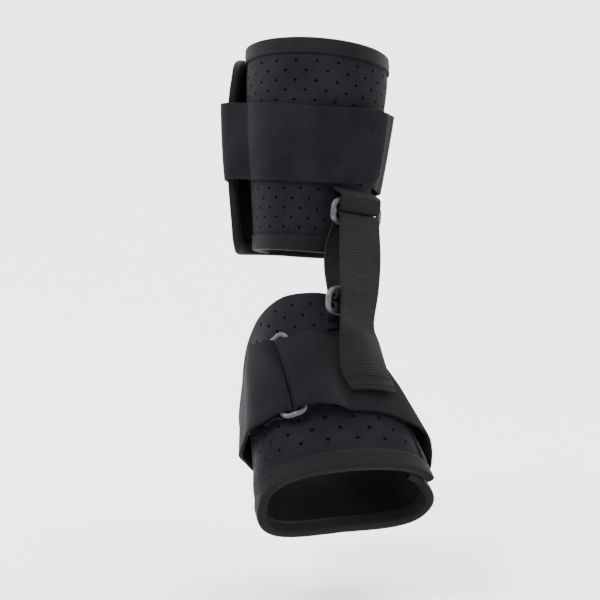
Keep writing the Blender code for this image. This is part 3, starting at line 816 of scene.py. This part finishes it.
def cuff_strap_edges(angle):
    """Lower and upper edge of the cuff's strap, with its cut end's rounded corners."""
    cut = corner_cut((CUFF_STRAP_END - angle) * CUFF_ROUND, STRAP_CORNER, 0.7 * STRAP_CORNER)
    low, high = (CUFF_STRAP_FLOOR + along(CUFF_STRAP_ROWS, column, angle) * CUFF_STRAP_WIDTH
                 for column in ("low", "high"))
    return low + cut, high - cut


def cuff_strap(mat):
    """The loop-faced strap round the cuff, over the tab and then over its own start."""
    span = CUFF_STRAP_END - CUFF_STRAP_START
    length = span * CUFF_ROUND * 1.15

    def place(u, v, face):
        if u > 0.96:
            u = 0.96 + 0.04 * math.sin(0.5 * math.pi * (u - 0.96) / 0.04)
        angle = CUFF_STRAP_START + span * u
        low, high = cuff_strap_edges(angle)
        height = low + (high - low) * v
        rim = min(v, 1 - v) * (high - low)
        off = cuff_strap_off(angle) + CUFF_STRAP_THICK * (1 - face)
        spot = cuff_point(angle, height, off)
        edge = 0.00022 * groove(rim, SEAM_IN, SEAM_ROUND)
        lift = uneven(spot, CUFF_STRAP_WAVES) + (0.3 * edge if face else -edge)
        return cuff_point(angle, height, off + lift)

    bm, _ = slab(300, 20, place, (length, CUFF_STRAP_WIDTH))
    keep("cuff_strap_cloth", bm, mat, "cuff_strap")


# Rings and webbing

def strap_axes(turn):
    """Across and off directions of webbing that faces turn degrees from the front."""
    angle = math.radians(turn)
    return (Vector((math.cos(angle), math.sin(angle), 0)),
            Vector((math.sin(angle), -math.cos(angle), 0)))


UP = Vector((0, 0, 1))
ACROSS, OUT = strap_axes(STRAP_TURN)
RING_LENGTH = WEBBING_WIDTH + 2 * RING_ROOM + 2 * RING_BAR
BEND = 0.5 * RING_BAR + 2 * GAP + 0.5 * WEBBING
UPPER_RING = OUT * UPPER_RING_REACH + UP * UPPER_RING_HEIGHT
LOWER_RING = OUT * LOWER_RING_REACH + ACROSS * LOWER_RING_SIDE + UP * LOWER_RING_HEIGHT
LOWER_ACROSS, LOWER_OUT = strap_axes(STRAP_TURN + LOWER_RING_TURN)
MEET = 0.5 * WEBBING + 0.6 * GAP


def ring(name, mat, node, surface, length, height, bar):
    """A rounded loop of bar: surface(along, up) gives points of its middle surface."""
    reach = 0.5 * (length - bar)
    rise = 0.5 * (height - bar)
    count = 96
    around = 16

    def outline(turn):
        x = math.cos(turn)
        y = math.sin(turn)
        power = 2.0 / RING_SQUARE
        return (reach * math.copysign(abs(x) ** power, x),
                rise * math.copysign(abs(y) ** power, y))

    line = [outline(2 * math.pi * i / 2000) for i in range(2001)]
    total = lengths_of([Vector(spot) for spot in line])
    stops = []
    k = 0
    for i in range(count):
        while total[k + 1] < total[-1] * i / count:
            k += 1
        stops.append(Vector(line[k]))

    def place(u, v):
        i = round(u * count) % count
        spot = stops[i]
        ahead = stops[(i + 1) % count] - stops[i - 1]
        nx, ny = Vector((ahead.y, -ahead.x)).normalized()
        middle = surface(*spot)
        out = (surface(spot.x + 0.001 * nx, spot.y + 0.001 * ny) - middle).normalized()
        way = (surface(spot.x - 0.001 * ny, spot.y + 0.001 * nx) - middle).normalized()
        off = way.cross(out)
        spin = 2 * math.pi * v
        return middle + 0.5 * bar * (out * math.cos(spin) + 0.86 * off * math.sin(spin))

    bm = tube(count, around, place, (2 * length, math.pi * bar))
    keep(name, bm, mat, node, sharp=80.0)


def span_at(centre, across):
    """Points across webbing with its middle at a point."""
    return tuple(centre + across * WEBBING_WIDTH * (0.25 * k - 0.5) for k in range(5))


def fold(centre, across, off, start, stop):
    """Rows of webbing round a bar, from one angle to another; 0 is outward, 90 is up."""
    path = []
    for i in range(9):
        turn = math.radians(start + (stop - start) * i / 8)
        way = off * math.cos(turn) + UP * math.sin(turn)
        path.append(span_at(centre + way * BEND, across))
    return path


def row_at(rows, at):
    """A row of points on smooth lines through rows, at a place counted in rows."""
    return tuple(between(points, at) for points in zip(*rows))


def smooth_run(rows, cells):
    """More rows of points on smooth lines through the given rows."""
    return [row_at(rows, i / cells) for i in range((len(rows) - 1) * cells + 1)]


def ribbed(rim, s):
    """Height of a rib at a length along webbing, lower at its woven edges."""
    ribs = math.cos(2 * math.pi * s / RIB_PITCH)
    return RIB_HEIGHT * ribs * (0.4 + 0.6 * ease(rim, 0.0006, 0.0020))


def hemmed(left):
    """Thickness that a turned hem adds at a length before the end, with its stitched grooves."""
    grooves = sum(groove(left, at, 0.0006) for at in HEM_SEAMS)
    full = 1 - ease(left, HEM_LENGTH - 0.0004, HEM_LENGTH + 0.0004)
    return HEM_THICK * full - 0.0003 * grooves


def ribbon(name, mat, node, path, hem=False):
    """Ribbed webbing with its middle at rows of points, and with a hem at its end."""
    cells = CELLS_ACROSS
    total = lengths_of([row[2] for row in path])
    rows = []
    for at in places_at(total, RIB_STEP):
        row = row_at(path, at)
        rows.append([between(row, 4 * j / cells) for j in range(cells + 1)])
    count = len(rows) - 1

    def place(u, v, face):
        i = round(u * count)
        j = round(v * cells)
        ahead = rows[min(i + 1, count)][j] - rows[max(i - 1, 0)][j]
        aside = rows[i][min(j + 1, cells)] - rows[i][max(j - 1, 0)]
        rim = min(v, 1 - v) * WEBBING_WIDTH
        left = (count - i) * total[-1] / count
        lift = ribbed(rim, i * total[-1] / count + uneven(rows[i][j], RIB_WAVES))
        side = 1 if face == 0 else -1
        narrow = Vector()
        if hem and left < HEM_LENGTH:
            lift = 0.3 * lift + (hemmed(left) if face else 0.0)
            cut = corner_cut(left, HEM_CORNER, HEM_NARROW)
            narrow = (rows[i][cells // 2] - rows[i][j]) * (2 * cut / WEBBING_WIDTH)
        return (rows[i][j] + narrow
                + aside.cross(ahead).normalized() * side * (0.5 * WEBBING + lift))

    bm, _ = slab(count, cells, place, (total[-1], WEBBING_WIDTH), edge=0.0004)
    keep(name, bm, mat, node)
    return rows, total[-1] / count


def hem_seam(rows, step, at):
    """Spots of stitches across webbing's hem, at a length along it."""
    inset = 0.005
    i = min(max(round(at / step), 1), len(rows) - 2)
    line = rows[i]
    ahead = rows[i + 1][CELLS_ACROSS // 2] - rows[i - 1][CELLS_ACROSS // 2]
    spots = []
    count = int((WEBBING_WIDTH - 2 * inset) / STITCH_PITCH)
    for k in range(count + 1):
        share = (inset + k * STITCH_PITCH) / WEBBING_WIDTH * (len(line) - 1)
        way = between(line, share + 0.1) - between(line, share - 0.1)
        off = ahead.cross(way).normalized()
        spots.append((between(line, share) + off * (0.78 * WEBBING + RIB_HEIGHT), way, off))
    return spots


def on_cuff(height):
    """A row of the tab where it lies on the cuff."""
    row = []
    for k in range(5):
        wide = WEBBING_WIDTH * (0.25 * k - 0.5)
        angle = STRAP_TURN + wide / (0.44 * CUFF_WIDTH) * 180.0 / math.pi
        row.append(cuff_point(angle, height, 2 * GAP + 0.5 * WEBBING))
    return tuple(row)


def ring_tab(mat):
    """The webbing tab under the cuff's strap, folded through the upper ring."""
    top = CUFF_STRAP_FLOOR + 0.34 * CUFF_STRAP_WIDTH
    leave = CUFF_STRAP_FLOOR - 0.04 * CUFF_STRAP_WIDTH
    bend = fold(UPPER_RING + UP * (MEET + BEND), ACROSS, OUT, 0, -180)
    start = bend[0][2].z - CUFF_FLOOR
    path = [on_cuff(top + (leave - top) * i / 6) for i in range(7)]
    clear = bend[0][2].z - CUFF_FLOOR + 0.5 * RING_HEIGHT - MEET - BEND + 2 * GAP
    for share, hold in ((0.33, 0.30), (0.67, 0.76), (1.0, 1.0)):
        height = leave + (clear - leave) * share
        free = span_at(bend[0][2] + UP * (height - start), ACROSS)
        path.append(tuple(a.lerp(b, hold) for a, b in zip(on_cuff(height), free)))
    path += bend
    for rise in (0.002, 0.004):
        path.append(span_at(bend[-1][2] + UP * rise, ACROSS))
    ribbon("ring_tab_webbing", mat, "ring_tab", path)


def hang(row):
    """The connecting strap at a row of its free run."""
    across = strap_axes(STRAP_TURN + row.turn)[0]
    centre = (OUT * UPPER_RING_REACH * row.reach + ACROSS * UPPER_RING_REACH * row.side
              + UP * (UPPER_RING_HEIGHT - STRAP_DROP * row.drop))
    return span_at(centre, across)


def lie(row):
    """The connecting strap at a row where it lies on the strap round the foot."""
    points = []
    for k in range(5):
        share = 0.25 * k
        angle = row.left + (row.right - row.left) * share
        at = row.left_at + (row.right_at - row.left_at) * share
        lift = row.left_lift + (row.right_lift - row.left_lift) * share
        off = strap_off(angle) + ELASTIC_THICK + 2 * GAP + 0.5 * WEBBING + lift
        points.append(foot_point(angle, at, off))
    return tuple(points)


def connecting_strap(mat):
    """Tail through the lower ring, inner run, fold in the upper ring, outer run, free end."""
    upper_fold = UPPER_RING - UP * (MEET + BEND)
    lower_fold = LOWER_RING + UP * (MEET + BEND)
    bend = fold(lower_fold, LOWER_ACROSS, LOWER_OUT, 0, -180)
    front = lower_fold + LOWER_OUT * BEND
    tail = [span_at(front + UP * rise, LOWER_ACROSS) for rise in (0.003, 0.0015)]
    top = fold(upper_fold, ACROSS, OUT, 180, 0)
    inner = smooth_run([bend[-1]] + [hang(row) for row in INNER_ROWS[::-1]] + [top[0]], 4)
    outer = smooth_run([top[-1]] + [hang(row) for row in OUTER_ROWS]
                       + [lie(row) for row in LIE_ROWS], 6)
    return ribbon("connecting_webbing", mat, "connecting_strap",
                  tail + bend + inner[1:-1] + top + outer[1:], hem=True)


def settle(target, off):
    """The point off the foot wrap that lies nearest to a target."""
    angle = 20.0
    share = 0.35
    reach = (24.0, 0.12)
    for _ in range(14):
        spots = [(angle + reach[0] * i, share + reach[1] * k)
                 for i in (-1, 0, 1) for k in (-1, 0, 1)]
        angle, share = min(spots, key=lambda at: (foot_point(*at, off) - target).length)
        reach = (reach[0] * 0.6, reach[1] * 0.6)
    return foot_point(angle, share, off)


def lower_tab(mat):
    """The webbing tab that holds the lower ring on the foot wrap's instep."""
    bend = fold(LOWER_RING - UP * (MEET + BEND), LOWER_ACROSS, LOWER_OUT, 0, 180)
    path = [span_at(bend[0][2] - UP * drop, LOWER_ACROSS) for drop in (0.004, 0.002)]
    path += bend
    for drop, hold in ((0.0015, 0.9), (0.004, 0.5), (0.007, 0.1), (0.0095, 0.0), (0.012, 0.0)):
        spots = span_at(bend[-1][2] + (OUT * 0.5 - UP * 0.86) * drop, LOWER_ACROSS)
        path.append(tuple(settle(spot, 2 * GAP + 0.5 * WEBBING).lerp(spot, hold)
                          for spot in spots))
    ribbon("lower_tab_webbing", mat, "lower_tab", path)


# Foot

def foot_wall(mat):
    """The foot wrap's foam cloth, which overlaps itself, with its holes."""
    length = (FOOT_FLAP_END - FOOT_INNER_END) * FOOT_ROUND
    counts = (round(length / HOLE_ALONG), 32)

    def place(u, v, face):
        angle = FOOT_INNER_END + (FOOT_FLAP_END - FOOT_INNER_END) * u
        rear = foot_edge("wrap_rear", angle)
        rim = foot_edge("wrap_rim", angle)
        share = rear + (rim - rear) * v
        off = foot_off(angle, share)
        if face:
            return foot_point(angle, share, off - WALL)
        front = (rim - share) * FOOT_LENGTH
        flap = (FOOT_FLAP_END - angle) * FOOT_ROUND
        spot = foot_base(angle, share)
        hold = ease(front, 0.0, BINDING_WIDTH) * ease(flap, 0.0, BINDING_WIDTH)
        lift = uneven(spot, FOOT_WAVES) * hold
        return foot_point(angle, share, off + lift - seam_dip(min(front, flap)))

    size = (length, FOOT_CLOTH_WIDTH)
    bm, outer = slab(*counts, place, size, edge=0)

    def skip(i, j):
        return j < 1 or j > counts[1] - 5 or i > counts[0] - 5 or i < 2

    punch(bm, outer, size, counts, skip, FOOT_HOLE_RIM)
    made = keep("foot_wrap_cloth", bm, mat, "foot_wrap")
    soften(made)


def toe_stations():
    """Stations of the tape on the toe rim."""
    last = FOOT_FLAP_END - 2 * GAP / FOOT_ROUND
    stations = []
    for i in range(161):
        angle = FOOT_INNER_END + (last - FOOT_INNER_END) * i / 160
        stations.append(((angle, foot_edge("wrap_rim", angle)), (0.0, -1.0 / FOOT_LENGTH)))
    return stations


def flap_stations():
    """Stations of the tape on the foot wrap's outer end."""
    rim = foot_edge("wrap_rim", FOOT_FLAP_END) - (BINDING_WIDTH + 2 * GAP) / FOOT_LENGTH
    rear = foot_edge("wrap_rear", FOOT_FLAP_END) + 2 * GAP / FOOT_LENGTH
    return [((FOOT_FLAP_END, rim + (rear - rim) * i / 60), (-1.0 / FOOT_ROUND, 0.0))
            for i in range(61)]


def strap_span(angle):
    """Rear and front edge of the strap, drawn in where it goes through its ring."""
    near = 1 - ease(abs(angle - FOOT_RING_AT), 11.0, 26.0)
    return (foot_edge("strap_rear", angle) + near * 0.0030 / FOOT_LENGTH,
            foot_edge("strap_front", angle) - near * 0.0016 / FOOT_LENGTH)


def ring_skew(angle, v):
    """Turn of the strap's fold, which lies askew in its ring."""
    return FOOT_RING_SKEW * v * (1 - ease(abs(angle - FOOT_RING_AT), 20.0, 60.0))


def strap_off(angle):
    """Inner face of the strap off the foot wrap."""
    clear = TAPE_ROOM + BINDING + 2 * GAP
    lift = 0.0070 * ease(angle, 36.0, 72.0) * (1 - ease(angle, 104.0, 130.0))
    side = 0.0022 * ease(angle, -150.0, -110.0) * (1 - ease(angle, -66.0, -50.0))
    return clear + lift + side


def loop_line(side, thick, far, steps):
    """Middle line in lengths round the foot and off it: tail, fold in the ring, run to far."""
    middle = strap_off(FOOT_RING_AT) + FOOT_STRAP_THICK + 2 * GAP + 0.5 * RING_BAR
    radius = 0.5 * RING_BAR + 2 * GAP + 0.5 * thick
    fold_at = FOOT_RING_AT * FOOT_ROUND + side * (0.5 * thick + GAP + radius)
    line = [Vector((fold_at + side * reach, middle - radius)) for reach in (0.015, 0.012, 0.009)]
    for i in range(9):
        turn = math.radians(-90 + 180 * i / 8)
        line.append(Vector((fold_at - side * radius * math.cos(turn),
                            middle + radius * math.sin(turn))))
    for i in range(1, steps + 1):
        at = fold_at + (far * FOOT_ROUND - fold_at) * i / steps
        rest = strap_off(at / FOOT_ROUND) + 0.5 * thick
        held = middle + radius
        line.append(Vector((at, held + (rest - held) * ease(abs(at - fold_at), 0.014, 0.030))))
    return line


def band(name, mat, node, slot, side, thick, far, steps, step):
    """Webbing round the foot, from its tail through the ring to far, ribbed or plain."""
    ribs = slot == "ribbed_webbing"
    line = loop_line(side, thick, far, steps)
    total = lengths_of(line)
    places = places_at(total, step)
    points = [between(line, at) for at in places]
    count = len(points) - 1
    length = total[-1]

    def place(u, v, face):
        i = round(u * count)
        ahead = (points[min(i + 1, count)] - points[max(i - 1, 0)]).normalized()
        rear, front = strap_span(points[i].x / FOOT_ROUND)
        tail = 0.0024 / FOOT_LENGTH * (1 - ease(i * length / count, 0.006, 0.012))
        rear, front = rear + tail, front - tail
        rim = min(v, 1 - v) * (front - rear) * FOOT_LENGTH
        if ribs:
            lift = ribbed(rim, i * length / count)
        else:
            lift = -0.00020 * groove(rim, SEAM_IN, SEAM_ROUND)
        off = (-side if face else side) * (0.5 * thick + lift)
        spot = points[i] + Vector((-ahead.y, ahead.x)) * off
        share = rear + (front - rear) * v
        angle = spot.x / FOOT_ROUND
        bumps = 0 if ribs else uneven(foot_base(angle, share), FOOT_STRAP_WAVES)
        free = ease(abs(angle - FOOT_RING_AT), 18.0, 30.0)
        inner = ease(angle, -175.0, -150.0) * (1 - ease(angle, -72.0, -58.0))
        press = (0.0012 + 0.0020 * inner) * free * (1 - ease(v, 0.0, 0.3))
        flare = 0.0028 * v * v * ease(angle, -122.0, -98.0) * (1 - ease(angle, -80.0, -58.0))
        return foot_point(angle + ring_skew(angle, v), share,
                          spot.y + bumps - press + flare)

    bm, _ = slab(count, CELLS_ACROSS, place, (length, STRAP_FLAT_WIDTH), edge=0.0004)
    keep(name, bm, mat, node)


def foot_ring(mat):
    """The ring that the foot's strap and elastic are folded through."""
    rear, front = strap_span(FOOT_RING_AT)
    high = strap_off(FOOT_RING_AT) + FOOT_STRAP_THICK + 2 * GAP + 0.5 * RING_BAR

    def surface(x, y):
        share = 0.5 * (rear + front) + x / FOOT_LENGTH
        skew = FOOT_RING_SKEW * (share - rear) / (front - rear)
        return foot_point(FOOT_RING_AT + skew + y / FOOT_ROUND, share, high)

    ring("foot_ring_bar", mat, "foot_ring", surface, FOOT_RING_LENGTH, FOOT_RING_WIDTH,
         FOOT_RING_BAR)


# Studio

CAMERA_SPOT = Vector((0.0, -0.736, 0.0229))
CAMERA_PITCH = 0.61
CAMERA_ROLL = 4.23
CAMERA_LENS = 61.8
FLOOR_BELOW = 0.05
LIGHTS = (                   # name, spot, aim, size and power
    ("key light", (-0.9, -1.3, 1.2), (0, 0, 0.02), (0.6, 0.6), 62.0),
    ("fill light", (1.3, -0.9, 0.4), (0, 0, 0.0), (0.9, 1.2), 10.0),
    ("top light", (0.1, 0.2, 1.6), (0, 0, 0.0), (1.2, 1.2), 22.0),
    ("edge light left", (-1.3, 0.7, 0.5), (0, 0, 0.05), (0.5, 1.2), 14.0),
    ("edge light right", (1.3, 0.8, 0.5), (0, 0, 0.05), (0.5, 1.2), 14.0),
    ("backdrop light", (0.0, 0.75, 1.9), (0, 1.9, 0.3), (2.4, 0.6), 40.0),
    ("floor light", (0.0, -0.5, 1.7), (0, -0.1, -0.3), (2.2, 0.8), 16.0),
)


def stage():
    """A pale floor that curves up into a backdrop."""
    mat, _, shader = new_material("pale paper")
    shader.inputs["Base Color"].default_value = (0.93, 0.93, 0.935, 1.0)
    shader.inputs["Roughness"].default_value = 0.9
    floor = CAD_BOX[0][2] - FLOOR_BELOW
    bm = bmesh.new()
    bmesh.ops.create_grid(bm, x_segments=2, y_segments=60, size=0.5)
    for vert in bm.verts:
        run = (vert.co.y + 0.5) * 5.2 - 2.0
        wide = vert.co.x * 6.0
        bend = min(max(run - 0.6, 0.0) / 0.8, 0.5 * math.pi)
        past = max(run - 0.6 - 0.4 * math.pi, 0.0)
        vert.co = Vector((wide, min(run, 0.6) + 0.8 * math.sin(bend),
                          floor + 0.8 * (1 - math.cos(bend)) + past))
    place_mesh("backdrop", bm, mat)


def soft_light(name, spot, aim, size, power):
    """A square light at a spot, turned to what it aims at."""
    lamp = bpy.data.lights.new(name, "AREA")
    lamp.shape = "RECTANGLE"
    lamp.size, lamp.size_y = size
    lamp.energy = power
    made = place_data(name, lamp)
    made.location = spot
    made.rotation_euler = (Vector(aim) - Vector(spot)).to_track_quat("-Z", "Y").to_euler()


def studio():
    """Floor, lights, air and camera."""
    stage()
    for light in LIGHTS:
        soft_light(*light)
    world = bpy.data.worlds.new("studio air")
    world.use_nodes = True
    world.node_tree.nodes["Background"].inputs["Color"].default_value = (1.0, 1.0, 1.0, 1.0)
    world.node_tree.nodes["Background"].inputs["Strength"].default_value = 0.80
    bpy.context.scene.world = world
    lens = bpy.data.cameras.new("camera")
    lens.lens = CAMERA_LENS
    lens.clip_start = 0.01
    camera = place_data("camera", lens)
    camera.matrix_world = (Matrix.Translation(CAMERA_SPOT)
                           @ Matrix.Rotation(math.radians(90 + CAMERA_PITCH), 4, "X")
                           @ Matrix.Rotation(math.radians(CAMERA_ROLL), 4, "Z"))
    bpy.context.scene.camera = camera


def build():
    """Materials, the pieces from the top down, and the studio."""
    foam = cloth("foam cloth", (0.0034, 0.0032, 0.0048), (0.0066, 0.0062, 0.0088), 0.85, 1100.0,
                 0.00016, lint=0.35, holes=True)
    edging = cloth("edge tape", (0.0038, 0.0037, 0.0044), (0.0070, 0.0068, 0.0078), 0.70, 900.0,
                   0.00014, weave=(0.0009, 0.0012), lint=0.2)
    loop = cloth("loop cloth", (0.0032, 0.0030, 0.0044), (0.0064, 0.0060, 0.0080), 0.92, 1500.0,
                 0.00026, lint=0.45, sheen=0.03)
    webbing = cloth("ribbed webbing", (0.0040, 0.0036, 0.0048), (0.0084, 0.0077, 0.0094), 0.72,
                    1000.0, 0.00016, weave=(0.0020, 0.0011), lint=0.3)
    elastic = cloth("ribbed elastic", (0.0034, 0.0031, 0.0044), (0.0074, 0.0067, 0.0086), 0.80,
                    1000.0, 0.00016, weave=(0.0020, 0.0012), lint=0.2)
    thread = cloth("sewing thread", (0.0050, 0.0050, 0.0054), (0.0110, 0.0110, 0.0115), 0.50,
                   1500.0, 0.00005, lint=0.0)
    grey = plastic("grey plastic", (0.024, 0.024, 0.027), (0.040, 0.040, 0.044), 0.34)

    cuff_wall(foam)
    rim = cuff_stations()
    tape("cuff_binding_tape", edging, "cuff_binding", rim, cuff_point, cuff_off, 0.80)
    stitches("cuff_binding_stitches", thread, seam(rim, cuff_point, cuff_off))
    cuff_strap(loop)
    ring_tab(webbing)
    strap_rows, strap_step = connecting_strap(webbing)
    length = strap_step * (len(strap_rows) - 1)
    lower_tab(webbing)
    for name, node, centre, across in (
            ("upper_ring_bar", "upper_ring", UPPER_RING, ACROSS),
            ("lower_ring_bar", "lower_ring", LOWER_RING, LOWER_ACROSS)):
        ring(name, grey, node, lambda x, y: centre + across * x + UP * y, RING_LENGTH,
             RING_HEIGHT, RING_BAR)
    stitches("webbing_stitches", thread,
             [spot for at in HEM_SEAMS
              for spot in hem_seam(strap_rows, strap_step, length - at)])

    foot_wall(foam)
    toe = toe_stations()
    flap = flap_stations()
    tape("toe_binding_tape", edging, "toe_binding", toe, foot_point, foot_off, 0.32)
    tape("flap_binding_tape", edging, "flap_binding", flap, foot_point, foot_off, 0.12)
    stitches("foot_binding_stitches", thread,
             seam(toe, foot_point, foot_off) + seam(flap, foot_point, foot_off))
    band("foot_strap_cloth", loop, "foot_strap", "loop_cloth", -1.0, FOOT_STRAP_THICK,
         STRAP_MEET - 360.0, 60, 0.0014)
    band("foot_elastic_webbing", elastic, "foot_elastic", "ribbed_webbing", 1.0, ELASTIC_THICK,
         STRAP_MEET - 2.0, 50, RIB_STEP)
    foot_ring(grey)
    studio()


build()
